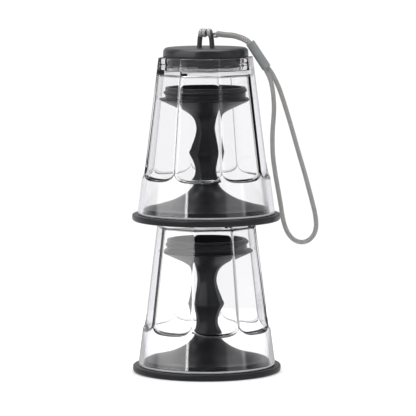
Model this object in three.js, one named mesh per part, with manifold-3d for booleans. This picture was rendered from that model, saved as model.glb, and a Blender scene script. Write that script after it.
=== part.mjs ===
// Two identical camping goblets, each packed inside its own upturned bowl, stacked into a lantern shape.
// The top socket is closed by a screw cap that carries a hanging loop and a wrist lanyard.
// Millimetres, +Z up, origin on the vertical axis at the bottom of the lower foot.
import * as THREE from "three";
import { mergeVertices } from "three/addons/utils/BufferGeometryUtils.js";
import Module from "manifold-3d";

const wasm = await Module();
wasm.setup();

// ---------------------------------------------------------------- driving dimensions

const ROUND = 32; // sides of every turned piece, a multiple of the facet count
const SEAT_GAP = 0.1; // between pieces that rest on each other

const STACK_PITCH = 98.4; // lower foot's bottom to upper foot's bottom
const FOOT_RADIUS = 48;
const FOOT_RIM_HEIGHT = 4.2;
const PLUG_RADIUS = 40.5; // the foot's plug, which closes the bowl's mouth
const PLUG_TOP = 8.1;
const GROOVE_BOTTOM = 4.9; // of the plug's seal groove
const GROOVE_TOP = 6.2;
const SEAL_RADIUS = 0.6; // of the seal's own round section
const HUB_TOP = 23.9; // where the foot's flare meets the stem
const SCREW_BORE_RADIUS = 2.1;
const SPIGOT_TOP = 29;
const RECESS_RADIUS = 33.1; // under the foot, around the lower bowl's end
const RECESS_ROOF = 7.8;
const BOSS_RADIUS = 7.2; // round the screw's bore, inside the foot
const BOSS_BOTTOM = 12;
const SPIGOT_RADIUS = 5.8;

const GLASS_BOTTOM = FOOT_RIM_HEIGHT + SEAT_GAP;
const GLASS_TOP = 105.5;
const GLASS_MOUTH_RADIUS = 44.5;
const GLASS_TAPER = 0.128; // radius lost for each millimetre of height
const GLASS_WALL = 3; // where the bowl is round
const FACET_WALL = 2.5; // where it is flat, inside and out
const FACETS = 8;
const FACET_FOOT = 26.5; // lowest point of each facet's rounded end
const FACET_SHOULDER = 35; // where that end leaves the ridges
const SOCKET_FLOOR = 97;
const BOWL_CEILING = 94.6;

const THREAD_PITCH = 3.2;
const THREAD_BEAD = 0.85; // radius of the round thread
const NECK_RADIUS = 25.1;
const NECK_INNER_RADIUS = 22.9;
const SOCKET_RADIUS = 26.7;
const MALE_HELIX_RADIUS = NECK_RADIUS + 0.3;
const FEMALE_HELIX_RADIUS = SOCKET_RADIUS + 0.05;
const NECK_BOTTOM = 98.9; // of a neck screwed home, measured in the bowl it is screwed into
const THREAD_LEAD_IN = 1.1; // from a neck's end to the middle of its thread's first turn
const HANGING_NECK_TURNS = 0.95; // of thread on the feet and the cap
const STEM_NECK_TURNS = 1.2;
const SOCKET_THREAD_START = 0.2; // in turns, measured like its length
const SOCKET_TURNS = 1.25;

const FLANGE_RADIUS = 29.1;
const FLANGE_BOTTOM = 77.8;
const STEM_THREAD_RISE = 3.2; // from the flange's underside to the start of the stem's thread
const STEM_NECK_TOP = 86;
const STEM_BOTTOM = 24.4;
const STEM_SOCKET_RADIUS = 6.1; // stands over the foot's spigot
const SKIRT_TOP = 31;
const SCREW_HOLE_RADIUS = 1.8;
const SCREW_HOLE_TOP = 42;
const SCREW_SHANK_RADIUS = 1.5;
const SCREW_HEAD_RADIUS = 3.8;
const SCREW_HEAD_TOP = 11.8; // under the foot's boss
const SCREW_HEAD_BOTTOM = 8.6;
const SCREW_TIP = 40.5;

const CAP_RADIUS = 27.6;
const CAP_BOTTOM = 106.2;
const CAP_TOP = 111.7;
const CAP_WALL = 2.2;
const GASKET_THICKNESS = 0.5;

const LOOP_LEG_RADIUS = 1.4;
const LOOP_SPREAD = 4.5; // half the distance between the legs at the cap
const LOOP_SPREAD_TOP = 3.8;
const LOOP_BAR_HEIGHT = 121; // centre of the loop's top bar
const LOOP_TURN = THREE.MathUtils.degToRad(-24);

const CORD_RADIUS = 1.2;
const SLIDER_RADIUS = 3;

// How far each piece is turned about the vertical axis.
const LOWER_GLASS_TURN = THREE.MathUtils.degToRad(31);
const UPPER_GLASS_TURN = THREE.MathUtils.degToRad(14.5);
const LOWER_STEM_TURN = THREE.MathUtils.degToRad(3);
const UPPER_STEM_TURN = THREE.MathUtils.degToRad(17);

// ---------------------------------------------------------------- materials

const clear = new THREE.MeshStandardMaterial({
  color: 0xf4f6f8,
  roughness: 0.03,
  metalness: 0,
  transparent: true,
  opacity: 0.25,
});
const black = new THREE.MeshStandardMaterial({ color: 0x1d1d20, roughness: 0.42, metalness: 0 });
const seal = new THREE.MeshStandardMaterial({ color: 0x121214, roughness: 0.75, metalness: 0 });
const steel = new THREE.MeshStandardMaterial({ color: 0xb8babd, roughness: 0.3, metalness: 1 });
const cordGrey = new THREE.MeshStandardMaterial({ color: 0xa9a5a1, roughness: 0.9, metalness: 0 });
const sleeveGrey = new THREE.MeshStandardMaterial({ color: 0x7b8081, roughness: 0.7, metalness: 0 });

// ---------------------------------------------------------------- shared helpers

function toSolid(geometry) {
  const bare = geometry.clone();
  bare.deleteAttribute("normal");
  bare.deleteAttribute("uv");
  const merged = mergeVertices(bare, 1e-4);
  return new wasm.Manifold(
    new wasm.Mesh({
      numProp: 3,
      vertProperties: merged.attributes.position.array,
      triVerts: new Uint32Array(merged.index.array),
    }),
  );
}

function toGeometry(solid) {
  const made = solid.getMesh();
  const geometry = new THREE.BufferGeometry();
  geometry.setAttribute("position", new THREE.BufferAttribute(new Float32Array(made.vertProperties), 3));
  geometry.setIndex(new THREE.BufferAttribute(new Uint32Array(made.triVerts), 1));
  geometry.computeVertexNormals();
  return geometry;
}

// A turned body from [radius, height] points. The outline runs upwards on its outer side.
function turned(outline, sides = ROUND, closed = true) {
  const points = outline.map(([r, z]) => new THREE.Vector2(r, z));
  if (closed) points.push(points[0].clone());
  const geometry = new THREE.LatheGeometry(points, sides);
  geometry.rotateX(Math.PI / 2);
  return geometry;
}

function mesh(name, geometry, material, height = 0, turn = 0) {
  const made = new THREE.Mesh(geometry, material);
  made.name = name;
  made.position.z = height;
  made.rotation.z = turn;
  return made;
}

class Helix extends THREE.Curve {
  constructor(radius, bottom, startTurn, turns) {
    super();
    Object.assign(this, { radius, bottom, startTurn, turns });
  }

  getPoint(t, target = new THREE.Vector3()) {
    const turn = this.startTurn + t * this.turns;
    const angle = turn * Math.PI * 2;
    return target.set(
      this.radius * Math.cos(angle),
      this.radius * Math.sin(angle),
      this.bottom + turn * THREAD_PITCH,
    );
  }
}

function polygon(radius, sides) {
  const shape = new THREE.Shape();
  for (let i = 0; i < sides; i++) {
    const angle = (i / sides) * Math.PI * 2;
    if (i === 0) shape.moveTo(radius, 0);
    else shape.lineTo(radius * Math.cos(angle), radius * Math.sin(angle));
  }
  return shape;
}

function sweep(path, radius, sides, steps) {
  return new THREE.ExtrudeGeometry(polygon(radius, sides), { extrudePath: path, steps, curveSegments: 1 });
}

// A round thread: one bead along a helix whose centre is at height `bottom` at angle 0.
function thread(radius, bottom, startTurn, turns) {
  const path = new Helix(radius, bottom, startTurn, turns);
  return toSolid(sweep(path, THREAD_BEAD, 6, Math.ceil(turns * 24)));
}

// ---------------------------------------------------------------- bowl

function coneRadius(z) {
  return GLASS_MOUTH_RADIUS - GLASS_TAPER * (z - GLASS_BOTTOM);
}

// What lies outside one flat facet, whose lower end is a wide rounded arch that stops short of the mouth.
// `inset` moves the facet's plane towards the axis.
function facetCutter(inset = 0) {
  const half = Math.PI / FACETS;
  const tilt = Math.atan(GLASS_TAPER * Math.cos(half));
  const ridgeHalfWidth = coneRadius(FACET_SHOULDER) * Math.sin(half);
  const reach = ridgeHalfWidth + 4;
  const top = (GLASS_TOP + 4 - FACET_FOOT) / Math.cos(tilt);
  const rise = (FACET_SHOULDER - FACET_FOOT) / Math.cos(tilt);
  const outline = new THREE.Shape();
  outline.moveTo(reach, rise);
  outline.lineTo(reach, top);
  outline.lineTo(-reach, top);
  outline.lineTo(-reach, rise);
  const archSteps = 8;
  for (let i = 0; i <= archSteps; i++) {
    const angle = Math.PI * (i / archSteps);
    const across = -Math.sign(Math.cos(angle)) * Math.abs(Math.cos(angle)) ** 0.8;
    outline.lineTo(ridgeHalfWidth * across, rise * (1 - Math.sin(angle) ** 0.9));
  }
  const cutter = new THREE.ExtrudeGeometry(outline, { depth: 12, bevelEnabled: false });
  const across = new THREE.Vector3(0, 1, 0);
  const upward = new THREE.Vector3(-Math.sin(tilt), 0, Math.cos(tilt));
  const outward = new THREE.Vector3(Math.cos(tilt), 0, Math.sin(tilt));
  const place = new THREE.Matrix4().makeBasis(across, upward, outward);
  place.setPosition(coneRadius(FACET_FOOT) * Math.cos(half) - inset, 0, FACET_FOOT);
  return cutter.applyMatrix4(place);
}

function cutFacets(solid, inset) {
  const cutter = toSolid(facetCutter(inset));
  let cut = solid;
  for (let i = 0; i < FACETS; i++) {
    cut = cut.subtract(cutter.rotate([0, 0, (360 * (i + 0.5)) / FACETS]));
  }
  return cut;
}

function bowlGeometry() {
  const block = toSolid(
    turned(
      [
        [0, GLASS_BOTTOM],
        [GLASS_MOUTH_RADIUS, GLASS_BOTTOM],
        [coneRadius(GLASS_TOP - 1), GLASS_TOP - 1],
        [coneRadius(GLASS_TOP) - 0.9, GLASS_TOP],
        [SOCKET_RADIUS + 0.4, GLASS_TOP],
        [SOCKET_RADIUS, GLASS_TOP - 0.4],
        [SOCKET_RADIUS, SOCKET_FLOOR],
        [0, SOCKET_FLOOR],
      ],
      ROUND,
      false,
    ),
  );
  const innerRadius = (z) => coneRadius(z) - GLASS_WALL;
  const corner = 2.4;
  const cavity = toSolid(
    turned(
      [
        [0, GLASS_BOTTOM - 1],
        [innerRadius(GLASS_BOTTOM - 1), GLASS_BOTTOM - 1],
        [innerRadius(BOWL_CEILING - corner), BOWL_CEILING - corner],
        [innerRadius(BOWL_CEILING) - corner - 2, BOWL_CEILING],
        [0, BOWL_CEILING],
      ],
      ROUND,
      false,
    ),
  );
  const bowl = cutFacets(block, 0).subtract(cutFacets(cavity, FACET_WALL));
  // The socket's thread lies half a pitch above the neck's.
  const bottom = NECK_BOTTOM + THREAD_LEAD_IN - THREAD_PITCH / 2;
  const threadRing = thread(FEMALE_HELIX_RADIUS, bottom, SOCKET_THREAD_START, SOCKET_TURNS);
  return toGeometry(bowl.add(threadRing));
}

// ---------------------------------------------------------------- foot

// The thread of a short neck that hangs down into a socket.
// `drop` is how far the piece sits above the bowl.
function hangingNeckThread(drop) {
  return thread(MALE_HELIX_RADIUS, NECK_BOTTOM + THREAD_LEAD_IN - drop, 0, HANGING_NECK_TURNS);
}

function footGeometry() {
  const neckBottom = NECK_BOTTOM - STACK_PITCH;
  const rimRounding = 1.4;
  const grooveRadius = PLUG_RADIUS - 1;
  const outline = [
    [SCREW_BORE_RADIUS, BOSS_BOTTOM],
    [BOSS_RADIUS, BOSS_BOTTOM],
    [BOSS_RADIUS, 19],
    [NECK_INNER_RADIUS, 10.4],
    [NECK_INNER_RADIUS, neckBottom],
    [NECK_RADIUS, neckBottom],
    [NECK_RADIUS, RECESS_ROOF],
    [RECESS_RADIUS, RECESS_ROOF],
    [RECESS_RADIUS, 0],
    [FOOT_RADIUS - rimRounding, 0],
    [FOOT_RADIUS, rimRounding],
    [FOOT_RADIUS, FOOT_RIM_HEIGHT - rimRounding],
    [FOOT_RADIUS - rimRounding, FOOT_RIM_HEIGHT],
    [PLUG_RADIUS, FOOT_RIM_HEIGHT],
    [PLUG_RADIUS, GROOVE_BOTTOM],
    [grooveRadius, GROOVE_BOTTOM],
    [grooveRadius, GROOVE_TOP],
    [PLUG_RADIUS, GROOVE_TOP],
    [PLUG_RADIUS, PLUG_TOP],
    [29, 11.1],
    [17.5, 15.2],
    [11, 19.4],
    [8, HUB_TOP],
    [SPIGOT_RADIUS, HUB_TOP],
    [SPIGOT_RADIUS, SPIGOT_TOP],
    [SCREW_BORE_RADIUS, SPIGOT_TOP],
  ];
  return toGeometry(toSolid(turned(outline)).add(hangingNeckThread(STACK_PITCH)));
}

function footSealGeometry() {
  const middle = PLUG_RADIUS - 0.35;
  const height = (GROOVE_BOTTOM + GROOVE_TOP) / 2;
  const ring = [];
  for (let i = 0; i < 6; i++) {
    const angle = (i / 6) * Math.PI * 2;
    ring.push([middle + SEAL_RADIUS * Math.cos(angle), height + SEAL_RADIUS * Math.sin(angle)]);
  }
  return turned(ring);
}

// The flat ring under the foot, which the lower bowl's end presses on.
function footGasketGeometry() {
  const top = RECESS_ROOF - SEAT_GAP;
  const bottom = GLASS_TOP - STACK_PITCH + SEAT_GAP;
  const [inner, outer] = [27.2, 30.8];
  return turned([[inner, bottom], [outer, bottom], [outer, top], [inner, top]]);
}

// ---------------------------------------------------------------- stem

// Eight-sided baluster: [circumradius, height] from the skirt to the funnel.
const BALUSTER = [
  [7.3, 30],
  [7.2, 32.5],
  [7.6, 36],
  [9.3, 39.6],
  [11.4, 43],
  [11.4, 45],
  [9.4, 48.6],
  [7.4, 53.2],
  [6.3, 58],
  [6.5, 61],
  [7.4, 64],
];

function stemGeometry() {
  const shaftBottom = BALUSTER[0][1];
  const shaftTop = BALUSTER[BALUSTER.length - 1][1];
  const shaft = toSolid(turned([[0, shaftBottom], ...BALUSTER, [0, shaftTop]], FACETS, false));
  const funnel = toSolid(
    turned(
      [
        [0, shaftTop - 1],
        [6.7, shaftTop - 1],
        [9.2, 66.6],
        [14, 70.8],
        [FLANGE_RADIUS, FLANGE_BOTTOM],
        [FLANGE_RADIUS, FLANGE_BOTTOM + 0.8],
        [NECK_RADIUS, FLANGE_BOTTOM + 1.5],
        [NECK_RADIUS, STEM_NECK_TOP],
        [NECK_INNER_RADIUS, STEM_NECK_TOP],
        [NECK_INNER_RADIUS, FLANGE_BOTTOM + 0.6],
        [12, 72.8],
        [0, 68],
      ],
      ROUND,
      false,
    ),
  );
  const skirt = toSolid(
    turned([
      [STEM_SOCKET_RADIUS, STEM_BOTTOM],
      [9.7, STEM_BOTTOM],
      [9.5, STEM_BOTTOM + 0.5],
      [7.8, 26.6],
      [7.2, 29],
      [7.1, SKIRT_TOP],
      [STEM_SOCKET_RADIUS, SKIRT_TOP],
    ]),
  );
  const below = STEM_BOTTOM - 4.4;
  const rod = (radius, bottom, top, sides) =>
    toSolid(turned([[0, bottom], [radius, bottom], [radius, top], [0, top]], sides, false));
  const screwHole = rod(SCREW_HOLE_RADIUS, below, SCREW_HOLE_TOP, 12);
  const socket = rod(STEM_SOCKET_RADIUS, below, SPIGOT_TOP + 0.4, ROUND);
  const neckThread = thread(MALE_HELIX_RADIUS, FLANGE_BOTTOM + STEM_THREAD_RISE, 0, STEM_NECK_TURNS);
  return toGeometry(shaft.subtract(socket).add(skirt).add(funnel).add(neckThread).subtract(screwHole));
}

function stemScrewGeometry() {
  const pointLength = 1.5;
  return turned(
    [
      [0, SCREW_HEAD_BOTTOM],
      [SCREW_HEAD_RADIUS - 1.2, SCREW_HEAD_BOTTOM],
      [SCREW_HEAD_RADIUS, SCREW_HEAD_BOTTOM + 1],
      [SCREW_HEAD_RADIUS, SCREW_HEAD_TOP],
      [SCREW_SHANK_RADIUS, SCREW_HEAD_TOP],
      [SCREW_SHANK_RADIUS, SCREW_TIP - pointLength],
      [0, SCREW_TIP],
    ],
    16,
    false,
  );
}

// ---------------------------------------------------------------- cap and loop

function capGeometry() {
  const shell = turned(
    [
      [0, CAP_TOP - CAP_WALL],
      [NECK_INNER_RADIUS, CAP_TOP - CAP_WALL],
      [NECK_INNER_RADIUS, NECK_BOTTOM],
      [NECK_RADIUS, NECK_BOTTOM],
      [NECK_RADIUS, CAP_BOTTOM],
      [CAP_RADIUS, CAP_BOTTOM],
      [CAP_RADIUS - 0.1, CAP_BOTTOM + 2.4],
      [CAP_RADIUS - 1, CAP_BOTTOM + 4.1],
      [CAP_RADIUS - 2.6, CAP_BOTTOM + 5.1],
      [CAP_RADIUS - 4.8, CAP_TOP],
      [0, CAP_TOP],
    ],
    ROUND,
    false,
  );
  let cap = toSolid(shell).add(hangingNeckThread(0));
  const holeRadius = LOOP_LEG_RADIUS + 0.3;
  const holeTop = CAP_TOP + 1;
  const hole = toSolid(
    turned([[0, CAP_BOTTOM], [holeRadius, CAP_BOTTOM], [holeRadius, holeTop], [0, holeTop]], 12, false),
  );
  for (const side of [-1, 1]) {
    const turn = LOOP_TURN - UPPER_GLASS_TURN;
    const x = side * LOOP_SPREAD * Math.cos(turn);
    const y = side * LOOP_SPREAD * Math.sin(turn);
    cap = cap.subtract(hole.translate([x, y, 0]));
  }
  return toGeometry(cap);
}

function capGasketGeometry() {
  const bottom = GLASS_TOP + SEAT_GAP;
  const top = bottom + GASKET_THICKNESS;
  const [inner, outer] = [25.5, 27.4];
  return turned([[inner, bottom], [outer, bottom], [outer, top], [inner, top]]);
}

// A moulded bail: two legs through the cap, with snap heads under its roof, and a rounded top bar.
function loopGeometry() {
  const footHeight = CAP_TOP - CAP_WALL - 1.3;
  const corner = 1.9;
  const shoulder = LOOP_BAR_HEIGHT - corner;
  const path = new THREE.CurvePath();
  const at = (x, z) => new THREE.Vector3(x, 0, z);
  path.add(new THREE.LineCurve3(at(-LOOP_SPREAD, footHeight), at(-LOOP_SPREAD, CAP_TOP)));
  path.add(new THREE.LineCurve3(at(-LOOP_SPREAD, CAP_TOP), at(-LOOP_SPREAD_TOP, shoulder)));
  path.add(
    new THREE.QuadraticBezierCurve3(
      at(-LOOP_SPREAD_TOP, shoulder),
      at(-LOOP_SPREAD_TOP, LOOP_BAR_HEIGHT),
      at(-LOOP_SPREAD_TOP + corner, LOOP_BAR_HEIGHT),
    ),
  );
  path.add(
    new THREE.LineCurve3(
      at(-LOOP_SPREAD_TOP + corner, LOOP_BAR_HEIGHT),
      at(LOOP_SPREAD_TOP - corner, LOOP_BAR_HEIGHT),
    ),
  );
  path.add(
    new THREE.QuadraticBezierCurve3(
      at(LOOP_SPREAD_TOP - corner, LOOP_BAR_HEIGHT),
      at(LOOP_SPREAD_TOP, LOOP_BAR_HEIGHT),
      at(LOOP_SPREAD_TOP, shoulder),
    ),
  );
  path.add(new THREE.LineCurve3(at(LOOP_SPREAD_TOP, shoulder), at(LOOP_SPREAD, CAP_TOP)));
  path.add(new THREE.LineCurve3(at(LOOP_SPREAD, CAP_TOP), at(LOOP_SPREAD, footHeight)));
  let loop = toSolid(sweep(path, LOOP_LEG_RADIUS, 8, 24));
  const headTop = CAP_TOP - CAP_WALL - SEAT_GAP;
  const head = toSolid(
    turned([[0, headTop - 1.4], [1.5, headTop - 1.4], [2.2, headTop], [0, headTop]], 12, false),
  );
  for (const side of [-1, 1]) loop = loop.add(head.translate([side * LOOP_SPREAD, 0, 0]));
  return toGeometry(loop);
}

// ---------------------------------------------------------------- lanyard

// Routes of the cord's middle line, in the part's frame.
const SLIDER_TOP = new THREE.Vector3(28.6, -9, 213.2);
const SLIDER_BOTTOM = new THREE.Vector3(38.9, -9.6, 197.4);

const STRAND_BACK = [
  [7.2, -2.2, 219.3],
  [9.8, -2.8, 218.9],
  [13.0, -3.6, 218.5],
  [18.0, -5.0, 218.1],
  [22.2, -6.4, 216.9],
  [24.8, -7.2, 215.8],
  [27.0, -8.0, 214.5],
];

const WRIST_LOOP = [
  [38.7, -10.0, 195.6],
  [40.4, -10.6, 192.2],
  [42.0, -11.4, 187.4],
  [43.1, -12.4, 180.4],
  [43.6, -13.6, 172.4],
  [43.2, -14.6, 164.4],
  [42.6, -15.2, 156.4],
  [42.5, -15.6, 148.4],
  [42.9, -15.9, 140.4],
  [43.9, -16.2, 132.4],
  [45.2, -16.5, 124.4],
  [46.6, -16.8, 116.4],
  [47.8, -17.0, 109.4],
  [48.8, -17.0, 102.8],
  [50.2, -16.8, 96.8],
  [52.6, -16.4, 91.2],
  [56.4, -15.8, 87.0],
  [61.2, -15.0, 85.4],
  [66.0, -14.2, 86.8],
  [69.4, -13.4, 90.8],
  [70.6, -12.8, 96.4],
  [69.9, -12.4, 103.2],
  [68.2, -12.0, 110.8],
  [66.0, -11.6, 119.4],
  [63.6, -11.2, 128.4],
  [61.0, -10.9, 137.4],
  [58.4, -10.6, 146.4],
  [55.6, -10.4, 156.4],
  [52.7, -10.2, 166.4],
  [49.9, -10.0, 175.4],
  [47.0, -9.9, 184.0],
  [44.0, -9.8, 190.6],
  [41.5, -9.7, 195.0],
];

function route(points) {
  return new THREE.CatmullRomCurve3(points.map((p) => new THREE.Vector3(...p)));
}

function cordGeometry(points, steps) {
  return sweep(route(points), CORD_RADIUS, 8, steps);
}

// The cow hitch round the loop's bar, as one plain collar.
function knotGeometry() {
  const [inner, outer, half] = [LOOP_LEG_RADIUS + 0.35, 3.2, 1.9];
  const collar = turned([[inner, -half], [outer, -half], [outer, half], [inner, half]], 16);
  return collar.rotateY(Math.PI / 2);
}

function sliderGeometry() {
  const length = SLIDER_TOP.distanceTo(SLIDER_BOTTOM);
  const rounding = 1;
  const outline = [
    [0, 0],
    [SLIDER_RADIUS, 0],
    [SLIDER_RADIUS, length - rounding],
    [SLIDER_RADIUS - rounding, length],
    [0, length],
  ];
  return turned(outline, 16, false);
}

function sliderMesh() {
  const made = mesh("lanyard_slider", sliderGeometry(), sleeveGrey);
  const along = SLIDER_TOP.clone().sub(SLIDER_BOTTOM).normalize();
  made.position.copy(SLIDER_BOTTOM);
  made.quaternion.setFromUnitVectors(new THREE.Vector3(0, 0, 1), along);
  return made;
}

function lanyard() {
  const group = new THREE.Group();
  const strandFront = STRAND_BACK.map(([x, y, z]) => [x - 0.4, y - 2.8, z - 0.5]);
  const knot = mesh("lanyard_knot", knotGeometry(), cordGrey, STACK_PITCH + LOOP_BAR_HEIGHT, LOOP_TURN);
  group.add(knot);
  group.add(mesh("lanyard_strand_back", cordGeometry(STRAND_BACK, 8), cordGrey));
  group.add(mesh("lanyard_strand_front", cordGeometry(strandFront, 8), cordGrey));
  group.add(sliderMesh());
  group.add(mesh("lanyard_wrist_loop", cordGeometry(WRIST_LOOP, 44), cordGrey));
  return group;
}

// ---------------------------------------------------------------- assembly

// One packed goblet: the foot closes the bowl's mouth, and the stem stands inside the bowl.
function goblet(name, height, footTurn, stemTurn, glassTurn) {
  const group = new THREE.Group();
  group.position.z = height;
  group.add(mesh(`${name}_foot`, footGeometry(), black, 0, footTurn));
  group.add(mesh(`${name}_foot_seal`, footSealGeometry(), seal, 0, footTurn));
  group.add(mesh(`${name}_foot_gasket`, footGasketGeometry(), seal));
  group.add(mesh(`${name}_stem`, stemGeometry(), black, 0, stemTurn));
  group.add(mesh(`${name}_stem_screw`, stemScrewGeometry(), steel));
  group.add(mesh(`${name}_glass`, bowlGeometry(), clear, 0, glassTurn));
  return group;
}

// A neck shares the turn of the socket it is screwed into, so that their threads mesh.
function closure() {
  const group = new THREE.Group();
  group.position.z = STACK_PITCH;
  group.add(mesh("cap_gasket", capGasketGeometry(), seal));
  group.add(mesh("cap", capGeometry(), black, 0, UPPER_GLASS_TURN));
  group.add(mesh("cap_loop", loopGeometry(), black, 0, LOOP_TURN));
  return group;
}

const lantern = new THREE.Group();
lantern.add(goblet("lower", 0, 0, LOWER_STEM_TURN, LOWER_GLASS_TURN));
lantern.add(goblet("upper", STACK_PITCH, LOWER_GLASS_TURN, UPPER_STEM_TURN, UPPER_GLASS_TURN));
lantern.add(closure());
lantern.add(lanyard());

export default lantern;
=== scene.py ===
"""The looks of a packed pair of clear camping goblets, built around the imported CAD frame.

Lengths in this script are millimetres unless a name says otherwise, and become metres in mesh_object().
Angles about the vertical axis are measured from +X towards +Y.
"""

import math

import bmesh
import bpy
import numpy as np
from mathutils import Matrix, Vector


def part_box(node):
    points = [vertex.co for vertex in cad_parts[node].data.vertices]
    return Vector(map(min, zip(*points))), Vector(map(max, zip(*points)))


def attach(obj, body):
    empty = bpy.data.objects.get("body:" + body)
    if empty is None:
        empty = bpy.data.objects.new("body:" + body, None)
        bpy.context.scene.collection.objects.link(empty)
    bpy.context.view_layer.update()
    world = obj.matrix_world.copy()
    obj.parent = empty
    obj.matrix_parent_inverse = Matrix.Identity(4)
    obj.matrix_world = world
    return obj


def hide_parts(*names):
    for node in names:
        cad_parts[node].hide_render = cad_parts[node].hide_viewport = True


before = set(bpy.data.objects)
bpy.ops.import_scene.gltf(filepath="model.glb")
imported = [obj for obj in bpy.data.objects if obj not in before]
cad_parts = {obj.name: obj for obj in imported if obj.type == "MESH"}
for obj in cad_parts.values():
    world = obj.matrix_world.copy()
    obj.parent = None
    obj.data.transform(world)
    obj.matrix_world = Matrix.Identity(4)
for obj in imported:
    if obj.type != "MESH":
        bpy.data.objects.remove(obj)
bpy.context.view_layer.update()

MM = 0.001
COLUMNS = 192  # round every turned piece

# ---------------------------------------------------------------- places taken from the frame


def height_of(node, corner=0):
    """The lowest (0) or highest (1) point of a CAD node, in millimetres."""
    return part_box(node)[corner][2] / MM


LOWER_BASE = height_of("lower_foot")
UPPER_BASE = height_of("upper_foot")
CAP_TOP = height_of("cap", 1)
LOOP_TOP = height_of("cap_loop", 1)

# ---------------------------------------------------------------- dimensions, in a goblet's own frame

FOOT_RADIUS = 48.0
FOOT_RIM_HEIGHT = 4.2
PLUG_RADIUS = 40.5
RECESS_RADIUS = 33.1
GROOVE_BOTTOM = 4.9  # of the plug's seal groove
GROOVE_TOP = 6.2
PLUG_TOP = 8.1
HUB_TOP = 23.9
RECESS_ROOF = 7.8
SPIGOT_TOP = 29.0

GLASS_BOTTOM = 4.3
GLASS_TOP = 105.5
GLASS_MOUTH_RADIUS = 44.5
GLASS_TAPER = 0.128
GLASS_WALL = 3.0  # where the bowl is round
FACET_WALL = 2.5  # where it is flat, inside and out
FACETS = 8
FACET_FOOT = 27.2  # where the middle of each facet ends
FACET_CORNER = 9.3  # height of each facet's rounded lower corners
FACET_CORNER_POWER = 3.2  # how square those corners are: 2 would be an ellipse
FACET_SHOULDER = 0.7  # height over which a facet runs out into the round mouth
INNER_SHOULDER = 1.6  # the same inside the bowl
FACET_CRISPNESS = 260  # of the ridges between facets
GROUND_EDGE_HEIGHT = 1.5  # of the band at the mouth that is ground, not polished
GROUND_EDGE_WIDTH = 1.6
GROUND_EDGE_FROST = 0.85  # how much of that band's light is scattered
SOCKET_RADIUS = 26.7
SOCKET_FLOOR = 97.0
BOWL_CEILING = 94.6

NECK_RADIUS = 25.1
NECK_INNER_RADIUS = 22.9
THREAD_PITCH = 3.2
THREAD_HEIGHT = 1.15
THREAD_HALF_WIDTH = 1.05
THREAD_LEAD_IN = 1.1
THREAD_FADE = 0.05  # of a turn, at each end of a thread
THREAD_ROWS = 0.22  # spacing of the rows that carry a thread
SOCKET_THREAD_HEIGHT = 0.3
NECK_BOTTOM = 98.9

FLANGE_RADIUS = 29.1
FLANGE_BOTTOM = 77.8
STEM_NECK_TOP = 86.0
STEM_BOTTOM = 24.4

CAP_BOTTOM = 106.2
CAP_RADIUS = 27.6

LOWER_GLASS_TURN = math.radians(31)
UPPER_GLASS_TURN = math.radians(14.5)
LOWER_STEM_TURN = math.radians(3)
UPPER_STEM_TURN = math.radians(17)
LOOP_TURN = math.radians(-24)

CORD_WIDTH = 3.0
CORD_THICKNESS = 1.5

# ---------------------------------------------------------------- camera

CAMERA_PLACE = (0, -2.0, 0.313)  # metres
CAMERA_TARGET = (0.0011, 0, 0.1061)
CAMERA_ROLL = math.radians(-0.2)
LENS = 269
SENSOR_WIDTH = 36


def add_camera():
    data = bpy.data.cameras.new("camera")
    data.sensor_width = SENSOR_WIDTH
    data.lens = LENS
    data.clip_start = 0.05
    data.clip_end = 20
    camera = bpy.data.objects.new("camera", data)
    camera.location = CAMERA_PLACE
    aim = (Vector(CAMERA_TARGET) - camera.location).to_track_quat("-Z", "Y").to_euler()
    aim.rotate_axis("Z", CAMERA_ROLL)
    camera.rotation_euler = aim
    bpy.context.scene.collection.objects.link(camera)
    bpy.context.scene.camera = camera


add_camera()

# ---------------------------------------------------------------- materials


class Nodes:
    """A short way to write node trees."""

    def __init__(self, tree):
        self.tree = tree
        self.tree.nodes.clear()

    def add(self, kind, **values):
        node = self.tree.nodes.new(kind)
        for key, value in values.items():
            if hasattr(node, key):
                setattr(node, key, value)
            else:
                node.inputs[key.replace("_", " ")].default_value = value
        return node

    def link(self, source, target, output=0, name=0):
        self.tree.links.new(source.outputs[output], target.inputs[name])

    def math(self, operation, a, b=None, c=None, clamp=False):
        node = self.tree.nodes.new("ShaderNodeMath")
        node.operation = operation
        node.use_clamp = clamp
        for i, value in enumerate((a, b, c)):
            if value is None:
                continue
            if isinstance(value, (int, float)):
                node.inputs[i].default_value = value
            else:
                self.tree.links.new(value.outputs[0], node.inputs[i])
        return node

    def ramp(self, stops, source=None, output=0, interpolation="LINEAR"):
        node = self.tree.nodes.new("ShaderNodeValToRGB")
        node.color_ramp.interpolation = interpolation
        elements = node.color_ramp.elements
        while len(elements) < len(stops):
            elements.new(1.0)
        for element, (place, value) in zip(elements, stops):
            element.position = place
            element.color = (*value, 1) if isinstance(value, tuple) else (value, value, value, 1)
        if source is not None:
            self.tree.links.new(source.outputs[output], node.inputs[0])
        return node

    def mirrored(self, path):
        """1 for light that has been mirrored on its way, 0 for light that comes straight or through."""
        node = self.add("ShaderNodeMath", operation="MINIMUM")
        self.link(path, node, "Glossy Depth", 0)
        node.inputs[1].default_value = 1
        return node


def new_material(name):
    material = bpy.data.materials.new(name)
    material.use_nodes = True
    return material, Nodes(material.node_tree)


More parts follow.
